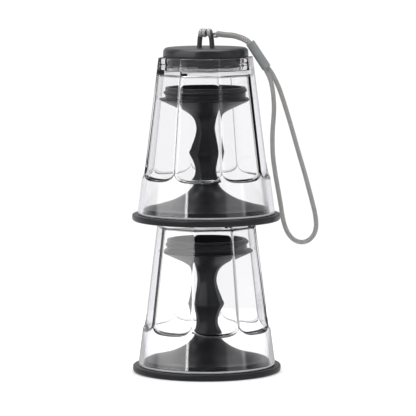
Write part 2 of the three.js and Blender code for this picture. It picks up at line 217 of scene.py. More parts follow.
def clear_plastic():
    """Polished clear plastic.

    It lets shadow and bounce light straight through, as thin walls nearly do."""
    material, n = new_material("clear_plastic")
    body = n.add("ShaderNodeBsdfPrincipled", Roughness=0.0, IOR=1.55)
    body.inputs["Transmission Weight"].default_value = 1
    body.inputs["Base Color"].default_value = (0.985, 0.982, 0.99, 1)
    # Painted shade: the plastic's colour turns darker grey towards grazing angles. This stands in for
    # the dark edges that the clear walls show, and only a little of it is the longer path through the
    # plastic there.
    edge = n.add("ShaderNodeLayerWeight", Blend=0.5)
    thickness = n.ramp(
        [(0.0, (0.985, 0.984, 0.99)), (0.72, (0.97, 0.968, 0.978)), (1.0, (0.80, 0.79, 0.82))]
    )
    n.link(edge, thickness, "Facing")
    n.link(thickness, body, 0, "Base Color")
    coordinates = n.add("ShaderNodeTexCoord")
    flow = n.add("ShaderNodeTexNoise", Scale=28.0, Detail=1.0)
    n.link(coordinates, flow, "Object", "Vector")
    waviness = n.add("ShaderNodeBump", Strength=0.05, Distance=0.0006)
    n.link(flow, waviness, "Fac", "Height")
    n.link(waviness, body, 0, "Normal")
    through = n.add("ShaderNodeBsdfTransparent", Color=(0.93, 0.93, 0.94, 1))
    path = n.add("ShaderNodeLightPath")
    light = n.add("ShaderNodeMath", operation="MAXIMUM")
    n.link(path, light, "Is Shadow Ray", 0)
    n.link(path, light, "Is Diffuse Ray", 1)
    mix = n.add("ShaderNodeMixShader")
    n.link(light, mix, 0, "Fac")
    n.link(body, mix, 0, 1)
    n.link(through, mix, 0, 2)
    out = n.add("ShaderNodeOutputMaterial")
    n.link(mix, out, 0, "Surface")
    return material


def satin_edge():
    """The bowl's drinking edge, where the clear plastic is ground and catches the light."""
    material, n = new_material("clear_plastic_satin_edge")
    polished = n.add("ShaderNodeBsdfPrincipled", Roughness=0.25, IOR=1.55)
    polished.inputs["Transmission Weight"].default_value = 1
    coordinates = n.add("ShaderNodeTexCoord")
    grinding = n.add("ShaderNodeTexNoise", Scale=900.0, Detail=2.0)
    n.link(coordinates, grinding, "Object", "Vector")
    tone = n.ramp([(0.3, (0.80, 0.80, 0.82)), (0.7, (0.93, 0.93, 0.95))], grinding)
    frost = n.add("ShaderNodeBsdfDiffuse")
    n.link(tone, frost, 0, "Color")
    mix = n.add("ShaderNodeMixShader", Fac=GROUND_EDGE_FROST)
    n.link(polished, mix, 0, 1)
    n.link(frost, mix, 0, 2)
    out = n.add("ShaderNodeOutputMaterial")
    n.link(mix, out, 0, "Surface")
    return material


def black_plastic(name, roughness=0.29, grain=1.0, ior=1.33, shade=1.0):
    """Satin black moulding with a fine spark-eroded grain."""
    material, n = new_material(name)
    body = n.add("ShaderNodeBsdfPrincipled", Roughness=roughness, IOR=ior)
    coordinates = n.add("ShaderNodeTexCoord")
    patches = n.add("ShaderNodeTexNoise", Scale=60.0, Detail=3.0)
    n.link(coordinates, patches, "Object", "Vector")
    dark = (0.0142 * shade, 0.0142 * shade, 0.0163 * shade)
    light = (0.0182 * shade, 0.0182 * shade, 0.0208 * shade)
    tone = n.ramp([(0.35, dark), (0.65, light)], patches)
    n.link(tone, body, 0, "Base Color")
    gloss = n.add("ShaderNodeMapRange")
    n.link(patches, gloss, "Fac", "Value")
    gloss.inputs["To Min"].default_value = roughness - 0.04
    gloss.inputs["To Max"].default_value = roughness + 0.05
    n.link(gloss, body, 0, "Roughness")
    speckle = n.add("ShaderNodeTexNoise", Scale=1800.0, Detail=2.0)
    n.link(coordinates, speckle, "Object", "Vector")
    bump = n.add("ShaderNodeBump", Strength=0.12 * grain, Distance=0.0001)
    n.link(speckle, bump, "Fac", "Height")
    n.link(bump, body, 0, "Normal")
    out = n.add("ShaderNodeOutputMaterial")
    n.link(body, out, 0, "Surface")
    return material


def rubber(name, dark, light, roughness, scale):
    """Matt moulded rubber with fine pores."""
    material, n = new_material(name)
    body = n.add("ShaderNodeBsdfPrincipled", Roughness=roughness, IOR=1.5)
    coordinates = n.add("ShaderNodeTexCoord")
    cloud = n.add("ShaderNodeTexNoise", Scale=scale, Detail=4.0)
    n.link(coordinates, cloud, "Object", "Vector")
    tone = n.ramp([(0.3, dark), (0.7, light)], cloud)
    n.link(tone, body, 0, "Base Color")
    pores = n.add("ShaderNodeTexNoise", Scale=2600.0, Detail=2.0)
    n.link(coordinates, pores, "Object", "Vector")
    bump = n.add("ShaderNodeBump", Strength=0.2, Distance=0.00012)
    n.link(pores, bump, "Fac", "Height")
    n.link(bump, body, 0, "Normal")
    out = n.add("ShaderNodeOutputMaterial")
    n.link(body, out, 0, "Surface")
    return material


def zinc_steel():
    """Zinc-plated steel, for the hidden screws."""
    material, n = new_material("zinc_steel")
    body = n.add("ShaderNodeBsdfPrincipled", Roughness=0.32, Metallic=1.0)
    coordinates = n.add("ShaderNodeTexCoord")
    grain = n.add("ShaderNodeTexNoise", Scale=400.0, Detail=3.0)
    n.link(coordinates, grain, "Object", "Vector")
    tone = n.ramp([(0.3, (0.52, 0.52, 0.54)), (0.7, (0.68, 0.68, 0.70))], grain)
    n.link(tone, body, 0, "Base Color")
    out = n.add("ShaderNodeOutputMaterial")
    n.link(body, out, 0, "Surface")
    return material


def braid(name, dark, light):
    """Flat braided cord: light grey yarns with darker gaps, crossing in chevrons."""
    material, n = new_material(name)
    body = n.add("ShaderNodeBsdfPrincipled", Roughness=0.85, IOR=1.45)
    body.inputs["Sheen Weight"].default_value = 0.25
    uv = n.add("ShaderNodeUVMap", uv_map="UVMap")
    parts = n.add("ShaderNodeSeparateXYZ")
    n.link(uv, parts, 0, "Vector")
    across = n.math("ABSOLUTE", n.math("SUBTRACT", n.math("MULTIPLY", parts, 2.0), 1.0))
    slanted = n.math("MULTIPLY", across, 0.9)
    turns = n.add("ShaderNodeMath", operation="ADD")
    n.link(parts, turns, "Y", 0)
    n.link(slanted, turns, 0, 1)
    chevron = n.math("SINE", n.math("MULTIPLY", turns, 6.2832))
    yarn = n.ramp([(0.28, 0.22), (0.68, 1.0)], n.math("MULTIPLY_ADD", chevron, 0.5, 0.5))
    coordinates = n.add("ShaderNodeTexCoord")
    fuzz = n.add("ShaderNodeTexNoise", Scale=1500.0, Detail=3.0)
    n.link(coordinates, fuzz, "Object", "Vector")
    tone = n.ramp([(0.3, dark), (0.7, light)], fuzz)
    shade = n.add("ShaderNodeMix", data_type="RGBA", blend_type="MULTIPLY")
    shade.inputs["Factor"].default_value = 1.0
    n.tree.links.new(tone.outputs[0], shade.inputs[6])
    n.tree.links.new(yarn.outputs[0], shade.inputs[7])
    n.tree.links.new(shade.outputs[2], body.inputs["Base Color"])
    bump = n.add("ShaderNodeBump", Strength=0.35, Distance=0.0001)
    n.link(fuzz, bump, "Fac", "Height")
    n.link(bump, body, 0, "Normal")
    out = n.add("ShaderNodeOutputMaterial")
    n.link(body, out, 0, "Surface")
    return material


CLEAR = clear_plastic()
SATIN_EDGE = satin_edge()
BLACK = black_plastic("black_plastic")
BLACK_GLOSS = black_plastic("black_plastic_gloss", roughness=0.2, grain=0.3, shade=3.2)
BLACK_SATIN = black_plastic("black_plastic_satin", roughness=0.31, ior=1.5)
SEAL = rubber("seal_rubber", (0.010, 0.010, 0.011), (0.018, 0.018, 0.019), 0.5, 300.0)
SLEEVE = rubber("grey_sleeve_rubber", (0.200, 0.212, 0.213), (0.245, 0.257, 0.258), 0.5, 260.0)
STEEL = zinc_steel()
BRAID = braid("grey_braid", (0.28, 0.275, 0.265), (0.58, 0.57, 0.56))
# A lighter copy of the braid for the hitch's wraps: painted light, standing in for the light that falls
# on them from above.
LIT_BRAID = braid("grey_braid_painted_light", (0.50, 0.49, 0.48), (0.80, 0.79, 0.78))

# ---------------------------------------------------------------- mesh helpers


def mesh_object(name, points, faces, material, uv=None):
    mesh = bpy.data.meshes.new(name)
    mesh.from_pydata([tuple(p) for p in np.asarray(points) * MM], [], faces)
    mesh.validate()
    mesh.shade_smooth()
    mesh.materials.append(material)
    if uv is not None:
        layer = mesh.uv_layers.new(name="UVMap")
        loops = np.empty(len(mesh.loops), dtype=np.int32)
        mesh.loops.foreach_get("vertex_index", loops)
        layer.data.foreach_set("uv", np.asarray(uv, dtype=np.float32)[loops].ravel())
    obj = bpy.data.objects.new(name, mesh)
    bpy.context.scene.collection.objects.link(obj)
    return obj


def filleted(corners, steps=5):
    """Rounds each (r, z, radius) corner of an outline.

    The points it adds beside a corner keep the flats there flat."""
    count = len(corners)
    closed = corners[0][0] > 0
    made = []
    for i, (r, z, radius) in enumerate(corners):
        here = np.array([r, z])
        ends = i == 0 or i == count - 1
        if radius == 0 or (ends and not closed):
            made.append(here)
            continue
        before = np.array(corners[i - 1][:2]) - here
        after = np.array(corners[(i + 1) % count][:2]) - here
        room = 0.49 * min(np.linalg.norm(before), np.linalg.norm(after))
        before = before / np.linalg.norm(before)
        after = after / np.linalg.norm(after)
        half = math.acos(np.clip(before @ after, -1, 1)) / 2
        reach = min(radius / math.tan(half), room)
        radius = reach * math.tan(half)
        bisector = (before + after) / np.linalg.norm(before + after)
        centre = here + bisector * radius / math.sin(half)
        start = here + before * reach - centre
        end = here + after * reach - centre
        made.append(here + before * min(reach * 1.6, reach + room * 0.5))
        turn = math.atan2(start[0] * end[1] - start[1] * end[0], start @ end)
        for k in range(steps + 1):
            a = turn * k / steps
            made.append(centre + [
                start[0] * math.cos(a) - start[1] * math.sin(a),
                start[0] * math.sin(a) + start[1] * math.cos(a),
            ])
        made.append(here + after * min(reach * 1.6, reach + room * 0.5))
    return np.array(made)


def smooth_line(points, spacing):
    """A smooth line through points of any dimension, with points at an even spacing."""
    points = np.asarray(points, dtype=float)
    padded = np.vstack([2 * points[0] - points[1], points, 2 * points[-1] - points[-2]])
    steps = np.sqrt(np.linalg.norm(np.diff(padded, axis=0), axis=1))
    knots = np.concatenate([[0], np.cumsum(steps)])
    made = []
    for i in range(1, len(padded) - 2):
        t0, t1, t2, t3 = knots[i - 1 : i + 3]
        t = np.linspace(t1, t2, 24, endpoint=False)[:, None]
        a1 = ((t1 - t) * padded[i - 1] + (t - t0) * padded[i]) / (t1 - t0)
        a2 = ((t2 - t) * padded[i] + (t - t1) * padded[i + 1]) / (t2 - t1)
        a3 = ((t3 - t) * padded[i + 1] + (t - t2) * padded[i + 2]) / (t3 - t2)
        b1 = ((t2 - t) * a1 + (t - t0) * a2) / (t2 - t0)
        b2 = ((t3 - t) * a2 + (t - t1) * a3) / (t3 - t1)
        made.append(((t2 - t) * b1 + (t - t1) * b2) / (t2 - t1))
    line = np.vstack(made + [points[-1:]])
    lengths = np.concatenate([[0], np.cumsum(np.linalg.norm(np.diff(line, axis=0), axis=1))])
    even = np.linspace(0, lengths[-1], max(2, int(round(lengths[-1] / spacing)) + 1))
    return np.column_stack([np.interp(even, lengths, line[:, k]) for k in range(line.shape[1])])


def turned(name, outline, material, base=0.0, angles=None, shape=None, lift=None):
    """A body turned about the vertical axis. lift() may first move each (angle, r, z) point up
    its wall, and shape() may then move it in or out."""
    if angles is None:
        angles = np.arange(COLUMNS) * 2 * math.pi / COLUMNS
    r = np.repeat(outline[:, 0:1], len(angles), axis=1)
    z = np.repeat(outline[:, 1:2], len(angles), axis=1)
    if lift is not None:
        r, z = lift(angles[None, :], r, z)
    if shape is not None:
        r = shape(angles[None, :], r, z)
    grid = np.stack([r * np.cos(angles), r * np.sin(angles), z + base], axis=2)
    rows, columns = r.shape
    poles = outline[0, 0] == 0
    points = grid.reshape(-1, 3)
    faces = []
    last = rows - 1 if poles else rows
    for i in range(last):
        a = i * columns
        b = ((i + 1) % rows) * columns
        for j in range(columns):
            k = (j + 1) % columns
            if poles and i == 0:
                faces.append((a, b + k, b + j))
            elif poles and i == last - 1:
                faces.append((a + j, a + k, b))
            else:
                faces.append((a + j, a + k, b + k, b + j))
    made = mesh_object(name, points, faces, material)
    if poles:
        remove_loose(made)
    return made


def remove_loose(obj):
    """Removes the points at a pole that no face uses."""
    work = bmesh.new()
    work.from_mesh(obj.data)
    bmesh.ops.delete(work, geom=[v for v in work.verts if not v.link_faces], context="VERTS")
    bmesh.ops.recalc_face_normals(work, faces=work.faces)
    work.to_mesh(obj.data)
    work.free()
    obj.data.shade_smooth()


def face_outward(obj):
    """Turns every face outward."""
    work = bmesh.new()
    work.from_mesh(obj.data)
    bmesh.ops.recalc_face_normals(work, faces=work.faces)
    work.to_mesh(obj.data)
    work.free()
    obj.data.shade_smooth()


def smoothstep(low, high, value):
    t = np.clip((value - low) / (high - low), 0, 1)
    return t * t * (3 - 2 * t)


def polygon_radius(angle, crispness):
    """1 at the corners of a regular polygon of FACETS sides, with its corners rounded."""
    half = math.pi / FACETS
    middles = half + np.arange(FACETS) * 2 * half
    cosines = np.cos(angle[..., None] - middles)
    total = np.sum(np.clip(cosines, 0, None) ** crispness, axis=-1)
    return math.cos(half) / total ** (1 / crispness)


def thread_relief(angle, z, start, low_turn, high_turn):
    """Height, from 0 to 1, of a round right-handed thread. Its middle is at height start at angle 0."""
    relief = np.zeros(np.broadcast(angle, z).shape)
    for lap in range(-1, 3):
        turn = angle / (2 * math.pi) + lap
        middle = start + turn * THREAD_PITCH
        begun = smoothstep(low_turn, low_turn + THREAD_FADE, turn)
        ended = smoothstep(high_turn - THREAD_FADE, high_turn, turn)
        bead = np.sqrt(np.clip(1 - ((z - middle) / THREAD_HALF_WIDTH) ** 2, 0, 1))
        relief = np.maximum(relief, begun * (1 - ended) * bead)
    return relief


def span(low, high, spacing):
    """Heights from low to high, without both ends."""
    count = max(2, int(round((high - low) / spacing)))
    return np.linspace(low, high, count + 1)[1:-1]


# ---------------------------------------------------------------- glass

ARCH_FADE_LOW = FACET_FOOT - 8  # from here up the rows bend towards the facets' arched ends
ARCH_LOW = FACET_FOOT - 1  # between these two they follow the arches, close together
ARCH_HIGH = FACET_FOOT + 4
ROWS_LEVEL = 62  # and from here up they are level again
FACET_BLEND = 0.04  # in square millimetres: softens the line where a flat meets the round cone


def cone_radius(z):
    return GLASS_MOUTH_RADIUS - GLASS_TAPER * (z - GLASS_BOTTOM)


def arch_rise(angle):
    """How far the lower end of the flat facets rises at this angle: nothing at a facet's middle."""
    half = math.pi / FACETS
    offset = np.abs((angle % (2 * half)) - half) / half
    return FACET_CORNER * (1 - (1 - offset**FACET_CORNER_POWER) ** (1 / FACET_CORNER_POWER))


def facet_depth(angle, z, shoulder=FACET_SHOULDER, round_wall=0.0, flat_wall=0.0):
    """How far the flat facets lie inside a round cone: nothing below their arched ends.

    The walls move the cone and the facets inwards, which gives the bowl's inside."""
    half = math.pi / FACETS
    arch = FACET_FOOT + arch_rise(angle)
    flat = (cone_radius(z) - flat_wall / math.cos(half)) * polygon_radius(angle, FACET_CRISPNESS)
    depth = cone_radius(z) - round_wall - flat
    depth = (depth + np.sqrt(depth**2 + FACET_BLEND)) / 2
    return depth * smoothstep(arch, arch + shoulder, z)


def facet_angles():
    """Angles round the glass, closer together at the ridges between facets."""
    half = math.pi / FACETS
    across = np.linspace(-1, 1, 29)[:-1]
    eased = across + 0.13 * np.sin(2 * math.pi * across) * -1
    middles = half + np.arange(FACETS) * 2 * half
    return np.sort(np.concatenate([m + half * eased for m in middles]) % (2 * math.pi))


def inner_radius(z):
    return cone_radius(z) - GLASS_WALL


def socket_radius(z):
    return np.full_like(z, SOCKET_RADIUS)


def wall_rows(low, high):
    """Heights of rows up a bowl's wall: close together where the facets end."""
    return np.concatenate(
        [
            span(low, ARCH_LOW, 4),
            span(ARCH_LOW, ARCH_HIGH, 0.16),
            span(ARCH_HIGH, ROWS_LEVEL, 1.0),
            span(ROWS_LEVEL, high, 4),
        ]
    )


def glass(name, base, turn):
    corners = [
        (0, BOWL_CEILING, 0),
        (inner_radius(BOWL_CEILING), BOWL_CEILING, 1.6),
        (inner_radius(GLASS_BOTTOM), GLASS_BOTTOM, 0.5),
        (GLASS_MOUTH_RADIUS, GLASS_BOTTOM, 1.7),
        (cone_radius(GLASS_TOP), GLASS_TOP, 0.8),
        (SOCKET_RADIUS, GLASS_TOP, 0.5),
        (SOCKET_RADIUS, SOCKET_FLOOR, 0.6),
        (0, SOCKET_FLOOR, 0),
    ]
    outline = filleted(corners)
    outline = insert_heights(outline, wall_rows(6, 103), cone_radius)
    bore = span(SOCKET_FLOOR + 0.9, GLASS_TOP - 0.8, THREAD_ROWS)[::-1]
    outline = insert_heights(outline, bore, socket_radius)
    outline = insert_heights(outline, wall_rows(7, 88)[::-1], inner_radius)

    def lift(angle, r, z):
        # Rows follow the arches, and level out above them.
        local = (angle - turn) % (2 * math.pi)
        wall = (r > inner_radius(z) - 0.6) & (z > ARCH_FADE_LOW)
        fade = smoothstep(ARCH_FADE_LOW, ARCH_LOW, z) * (1 - smoothstep(ARCH_HIGH, ROWS_LEVEL, z))
        up = np.where(wall, fade * arch_rise(local), 0)
        return r - GLASS_TAPER * up, z + up

    def shape(angle, r, z):
        local = (angle - turn) % (2 * math.pi)
        outside = (r > inner_radius(z) + 1.2) & (r > SOCKET_RADIUS + 2.2)
        inside = (r < inner_radius(z) + 0.6) & (z < BOWL_CEILING + 0.1)
        rim = smoothstep(SOCKET_RADIUS + 2.2, cone_radius(z) - 1.0, r)
        ceiling = r / inner_radius(z)
        moved = r - np.where(outside, rim * facet_depth(local, z), 0)
        inner_depth = facet_depth(local, z, INNER_SHOULDER, GLASS_WALL, FACET_WALL)
        moved = moved - np.where(inside, ceiling * inner_depth, 0)
        bore_wall = (r <= SOCKET_RADIUS + 0.01) & (z > SOCKET_FLOOR + 0.8) & (z < GLASS_TOP - 0.7)
        start = NECK_BOTTOM + THREAD_LEAD_IN - THREAD_PITCH / 2
        relief = thread_relief(local, z, start, 0.2, 1.45)
        return moved - np.where(bore_wall, SOCKET_THREAD_HEIGHT * relief, 0)

    angles = (facet_angles() + turn) % (2 * math.pi)
    bowl = turned(f"{name}_glass_clear", outline, CLEAR, base, angles, shape, lift)
    bowl.data.materials.append(SATIN_EDGE)
    edge_top = (base + GLASS_BOTTOM + GROUND_EDGE_HEIGHT) * MM
    edge_radius = (GLASS_MOUTH_RADIUS - GROUND_EDGE_WIDTH) * MM
    for face in bowl.data.polygons:
        if face.center.z < edge_top and np.hypot(face.center.x, face.center.y) > edge_radius:
            face.material_index = 1
    return bowl


def insert_heights(outline, heights, radius):
    """Adds rows at these heights to the straight stretch of an outline that holds all of them."""
    rising = heights[-1] > heights[0]
    for i in range(len(outline) - 1):
        (r0, z0), (r1, z1) = outline[i], outline[i + 1]
        low, high = min(z0, z1), max(z0, z1)
        if low > min(heights) or high < max(heights) or (z1 > z0) != rising:
            continue
        there = np.interp(heights[0], [low, high], [r0, r1] if rising else [r1, r0])
        if abs(there - radius(heights[0])) < 0.5:
            rows = np.column_stack([radius(heights), heights])
            return np.vstack([outline[: i + 1], rows, outline[i + 1 :]])
    raise ValueError("no straight stretch holds these heights")


# ---------------------------------------------------------------- foot


def neck_radius(z):
    return np.full_like(z, NECK_RADIUS)


def foot(name, base, turn):
    neck_bottom = NECK_BOTTOM - (UPPER_BASE - LOWER_BASE)
    bore = 2.1
    flare = smooth_line(
        [
            (PLUG_RADIUS - 0.5, PLUG_TOP + 0.05),
            (36, 8.75),
            (29, 10.7),
            (22.5, 12.7),
            (17, 15.2),
            (13.4, 17.5),
            (11, 19.4),
            (9.2, 21.4),
            (8.3, 22.9),
            (7.9, HUB_TOP),
        ],
        0.8,
    )
    lower = [
        (bore, 12, 0),
        (7.2, 12, 0.5),
        (7.2, 19, 0.8),
        (NECK_INNER_RADIUS, 10.4, 1.5),
        (NECK_INNER_RADIUS, neck_bottom, 0.5),
        (NECK_RADIUS, neck_bottom, 0.5),
        (NECK_RADIUS, RECESS_ROOF, 0.4),
        (RECESS_RADIUS, RECESS_ROOF, 0.6),
        (RECESS_RADIUS, 0, 0.6),
        (FOOT_RADIUS, 0, 1.7),
        (FOOT_RADIUS, FOOT_RIM_HEIGHT, 0.8),
        (PLUG_RADIUS, FOOT_RIM_HEIGHT, 0.2),
        (PLUG_RADIUS, GROOVE_BOTTOM, 0.2),
        (PLUG_RADIUS - 1, GROOVE_BOTTOM, 0.15),
        (PLUG_RADIUS - 1, GROOVE_TOP, 0.15),
        (PLUG_RADIUS, GROOVE_TOP, 0.25),
        (PLUG_RADIUS, PLUG_TOP, 0.35),
        (flare[0][0], flare[0][1], 0),
    ]
    upper = [
        (flare[-1][0], flare[-1][1], 0),
        (5.8, HUB_TOP, 0.3),
        (5.8, SPIGOT_TOP, 0.4),
        (bore, SPIGOT_TOP, 0.3),
    ]
    rounded = filleted(lower + upper)
    split = int(np.argmin(np.linalg.norm(rounded - flare[0], axis=1))) + 1
    outline = np.vstack([rounded[:split], flare[1:-1], rounded[split:]])
    neck = span(neck_bottom + 0.6, RECESS_ROOF - 0.5, THREAD_ROWS)
    outline = insert_heights(outline, neck, neck_radius)

    def shape(angle, r, z):
        on_neck = (np.abs(r - NECK_RADIUS) < 0.01) & (z < RECESS_ROOF - 0.4) & (z > neck_bottom + 0.5)
        start = neck_bottom + THREAD_LEAD_IN
        relief = thread_relief((angle - turn) % (2 * math.pi), z, start, 0.0, 0.95)
        return r + np.where(on_neck, THREAD_HEIGHT * relief, 0)

    return turned(f"{name}_foot_black", outline, BLACK, base, None, shape)


def foot_seal(name, base):
    middle, height, radius = PLUG_RADIUS - 0.35, (GROOVE_BOTTOM + GROOVE_TOP) / 2, 0.62
    a = np.arange(14) / 14 * 2 * math.pi
    ring = np.column_stack([middle + radius * np.cos(a), height + radius * np.sin(a)])
    return turned(f"{name}_seal_ring", ring, SEAL, base)


# ---------------------------------------------------------------- stem

BALUSTER = [
    (9.75, STEM_BOTTOM),
    (9.65, 25.0),
    (9.3, 26.0),
    (8.7, 27.0),
    (8.05, 28.0),
    (7.45, 29.3),
    (7.05, 31.0),
    (6.95, 33.0),
    (7.35, 35.4),
    (8.5, 38.6),
    (10.0, 41.6),
    (10.8, 43.2),
    (10.8, 44.8),
    (10.1, 46.0),
    (8.9, 49.2),
    (7.4, 53.2),
    (6.45, 57.0),
    (6.2, 59.4),
    (6.5, 61.8),
    (7.4, 64.8),
    (9.4, 67.6),
    (13.0, 70.3),
    (18.5, 73.1),
    (24.0, 75.6),
    (FLANGE_RADIUS - 0.3, FLANGE_BOTTOM),
]


def stem(name, base, turn):
    outside = smooth_line(BALUSTER, 0.55)
    neck = [
        (FLANGE_RADIUS, FLANGE_BOTTOM + 0.35, 0.2),
        (FLANGE_RADIUS - 0.1, FLANGE_BOTTOM + 0.8, 0.2),
        (NECK_RADIUS, FLANGE_BOTTOM + 1.5, 0.5),
        (NECK_RADIUS, STEM_NECK_TOP, 0.5),
        (NECK_INNER_RADIUS, STEM_NECK_TOP, 0.5),
        (NECK_INNER_RADIUS, FLANGE_BOTTOM + 0.8, 2.0),
        (12, 72.8, 3.0),
        (1.8, 67.6, 0.5),
        (1.8, 29.4, 0.3),
        (6.1, 29.4, 0.3),
        (6.1, STEM_BOTTOM, 0.2),
    ]
    first = (*outside[0], 0.15)
    last = (*outside[-1], 0)
    rounded = filleted([first, last] + neck)
    split = int(np.argmin(np.linalg.norm(rounded - outside[-1], axis=1)))
    outline = np.vstack([rounded[:split], outside[1:], rounded[split + 1 :]])
    rows = span(FLANGE_BOTTOM + 2.1, STEM_NECK_TOP - 0.6, THREAD_ROWS)
    outline = insert_heights(outline, rows, neck_radius)

    def shape(angle, r, z):
        local = (angle - turn) % (2 * math.pi)
        outer = np.interp(z, [p[1] for p in BALUSTER], [p[0] for p in BALUSTER])
        on_shaft = (np.abs(r - outer) < 1.0) & (z < FLANGE_BOTTOM) & (r > 6.11)
        faceted = smoothstep(26, 29, z) * (1 - smoothstep(62, 74, z))
        # The outline is the facets' middle line, so corners stand out and flats lie in.
        wave = 1.035 * polygon_radius(local, 70) - 1
        moved = r * (1 + np.where(on_shaft, faceted * wave, 0))
        on_neck = (np.abs(r - NECK_RADIUS) < 0.01) & (z > FLANGE_BOTTOM + 2) & (z < STEM_NECK_TOP - 0.5)
        relief = thread_relief(local, z, FLANGE_BOTTOM + 3.2, 0.0, 1.2)
        return moved + np.where(on_neck, THREAD_HEIGHT * relief, 0)

    return turned(f"{name}_stem_black", outline, BLACK, base, None, shape)


# ---------------------------------------------------------------- cap and loop


def cap():
    top = CAP_TOP - UPPER_BASE
    corners = [
        (0, top - 2.2, 0),
        (NECK_INNER_RADIUS, top - 2.2, 0.8),
        (NECK_INNER_RADIUS, NECK_BOTTOM, 0.5),
        (NECK_RADIUS, NECK_BOTTOM, 0.5),
        (NECK_RADIUS, CAP_BOTTOM, 0.3),
        (CAP_RADIUS, CAP_BOTTOM, 0.35),
        (CAP_RADIUS - 0.3, top - 0.1, 3.6),
        (6, top, 6),
        (0, top, 0),
    ]
    outline = filleted(corners, steps=8)
    rows = span(NECK_BOTTOM + 0.6, CAP_BOTTOM - 0.4, THREAD_ROWS)
    outline = insert_heights(outline, rows, neck_radius)

    def shape(angle, r, z):
        on_neck = (np.abs(r - NECK_RADIUS) < 0.01) & (z > NECK_BOTTOM + 0.5) & (z < CAP_BOTTOM - 0.3)
        start = NECK_BOTTOM + THREAD_LEAD_IN
        relief = thread_relief((angle - UPPER_GLASS_TURN) % (2 * math.pi), z, start, 0.0, 0.95)
        return r + np.where(on_neck, THREAD_HEIGHT * relief, 0)

    return turned("cap_black", outline, BLACK_SATIN, UPPER_BASE, None, shape)


def swept(name, line, section, material, facing, closed=False, relief=None, repeat=1.5):
    """A section of (across, up) points carried along a line, with its flat side turned to facing."""
    line = np.asarray(line)
    if closed:
        ahead = np.roll(line, -1, axis=0) - np.roll(line, 1, axis=0)
    else:
        ahead = np.gradient(line, axis=0)
    ahead = ahead / np.linalg.norm(ahead, axis=1)[:, None]
    facing = np.broadcast_to(np.asarray(facing, dtype=float), line.shape)
    up = facing - np.sum(facing * ahead, axis=1)[:, None] * ahead
    up = up / np.linalg.norm(up, axis=1)[:, None]
    across = np.cross(ahead, up)
    lengths = np.concatenate([[0], np.cumsum(np.linalg.norm(np.diff(line, axis=0), axis=1))])
    count = len(section)
    if relief is None:
        size = np.ones((len(line), count))
    else:
        size = relief(lengths[:, None], section[None, :, 0])
    points = (
        line[:, None, :]
        + (section[None, :, 0] * size)[..., None] * across[:, None, :]
        + (section[None, :, 1] * size)[..., None] * up[:, None, :]
    )
    faces = []
    rows = len(line)
    for i in range(rows if closed else rows - 1):
        a = i * count
        b = ((i + 1) % rows) * count
        for j in range(count):
            k = (j + 1) % count
            faces.append((a + j, b + j, b + k, a + k))
    if not closed:
        faces.append(tuple(range(count)))
        faces.append(tuple((rows - 1) * count + j for j in reversed(range(count))))
    width = np.ptp(section[:, 0])
    uv = np.stack(
        np.broadcast_arrays(section[None, :, 0] / width + 0.5, lengths[:, None] / repeat), axis=2
    ).reshape(-1, 2)
    made = mesh_object(name, points.reshape(-1, 3), faces, material, uv)
    face_outward(made)
    return made


def oval(width, thickness, count, squareness=1.0):
    a = (np.arange(count) + 0.5) / count * 2 * math.pi
    x = np.sign(np.cos(a)) * np.abs(np.cos(a)) ** squareness
    y = np.sign(np.sin(a)) * np.abs(np.sin(a)) ** squareness
    return np.column_stack([x * width / 2, y * thickness / 2])


def loop_frame():
    """The loop's own directions: along its bar and square to it, and its bar's middle."""
    along = np.array([math.cos(LOOP_TURN), math.sin(LOOP_TURN), 0])
    behind = np.array([-math.sin(LOOP_TURN), math.cos(LOOP_TURN), 0])
    bar = np.array([0, 0, LOOP_TOP - 1.4])
    return along, behind, bar


def cap_loop():
    along, behind, bar = loop_frame()
    roof = CAP_TOP - 2.4
    bar_height = bar[2]
    corner = 2.4
    half_bottom, half_top = 4.5, 3.8
    right = [
        (0, bar_height),
        (half_top - corner, bar_height),
        (half_top - 0.7, bar_height - 0.55),
        (half_top, bar_height - corner),
        (half_bottom - 0.02, CAP_TOP),
        (half_bottom, roof + 0.6),
    ]
    outline = [(-x, z) for x, z in right[:0:-1]] + right
    line = smooth_line(outline, 0.5)
    points = line[:, :1] * along + line[:, 1:] * np.array([0, 0, 1])
    return swept("cap_loop_black", points, oval(3.1, 2.9, 24, 0.8), BLACK_GLOSS, behind)


# ---------------------------------------------------------------- lanyard

# The cord's route, which repeats the route of the part's own solids.
STRAND_BACK = [
    (7.2, -2.2, 219.3),
    (9.8, -2.8, 218.9),
    (13.0, -3.6, 218.5),
    (18.0, -5.0, 218.1),
    (22.2, -6.4, 216.9),
    (24.8, -7.2, 215.8),
    (27.0, -8.0, 214.5),
]

WRIST_LOOP = [
    (38.7, -10.0, 195.6),
    (40.4, -10.6, 192.2),
    (42.0, -11.4, 187.4),
    (43.1, -12.4, 180.4),
    (43.6, -13.6, 172.4),
    (43.2, -14.6, 164.4),
    (42.6, -15.2, 156.4),
    (42.5, -15.6, 148.4),
    (42.9, -15.9, 140.4),
    (43.9, -16.2, 132.4),
    (45.2, -16.5, 124.4),
    (46.6, -16.8, 116.4),
    (47.8, -17.0, 109.4),
    (48.8, -17.0, 102.8),
    (50.2, -16.8, 96.8),
    (52.6, -16.4, 91.2),
    (56.4, -15.8, 87.0),
    (61.2, -15.0, 85.4),
    (66.0, -14.2, 86.8),
    (69.4, -13.4, 90.8),
    (70.6, -12.8, 96.4),
    (69.9, -12.4, 103.2),
    (68.2, -12.0, 110.8),
    (66.0, -11.6, 119.4),
    (63.6, -11.2, 128.4),
    (61.0, -10.9, 137.4),
    (58.4, -10.6, 146.4),
    (55.6, -10.4, 156.4),
    (52.7, -10.2, 166.4),
    (49.9, -10.0, 175.4),
    (47.0, -9.9, 184.0),
    (44.0, -9.8, 190.6),
    (41.5, -9.7, 195.0),
]

SLIDER_TOP = np.array([28.6, -9.0, 213.2])
SLIDER_BOTTOM = np.array([38.9, -9.6, 197.4])


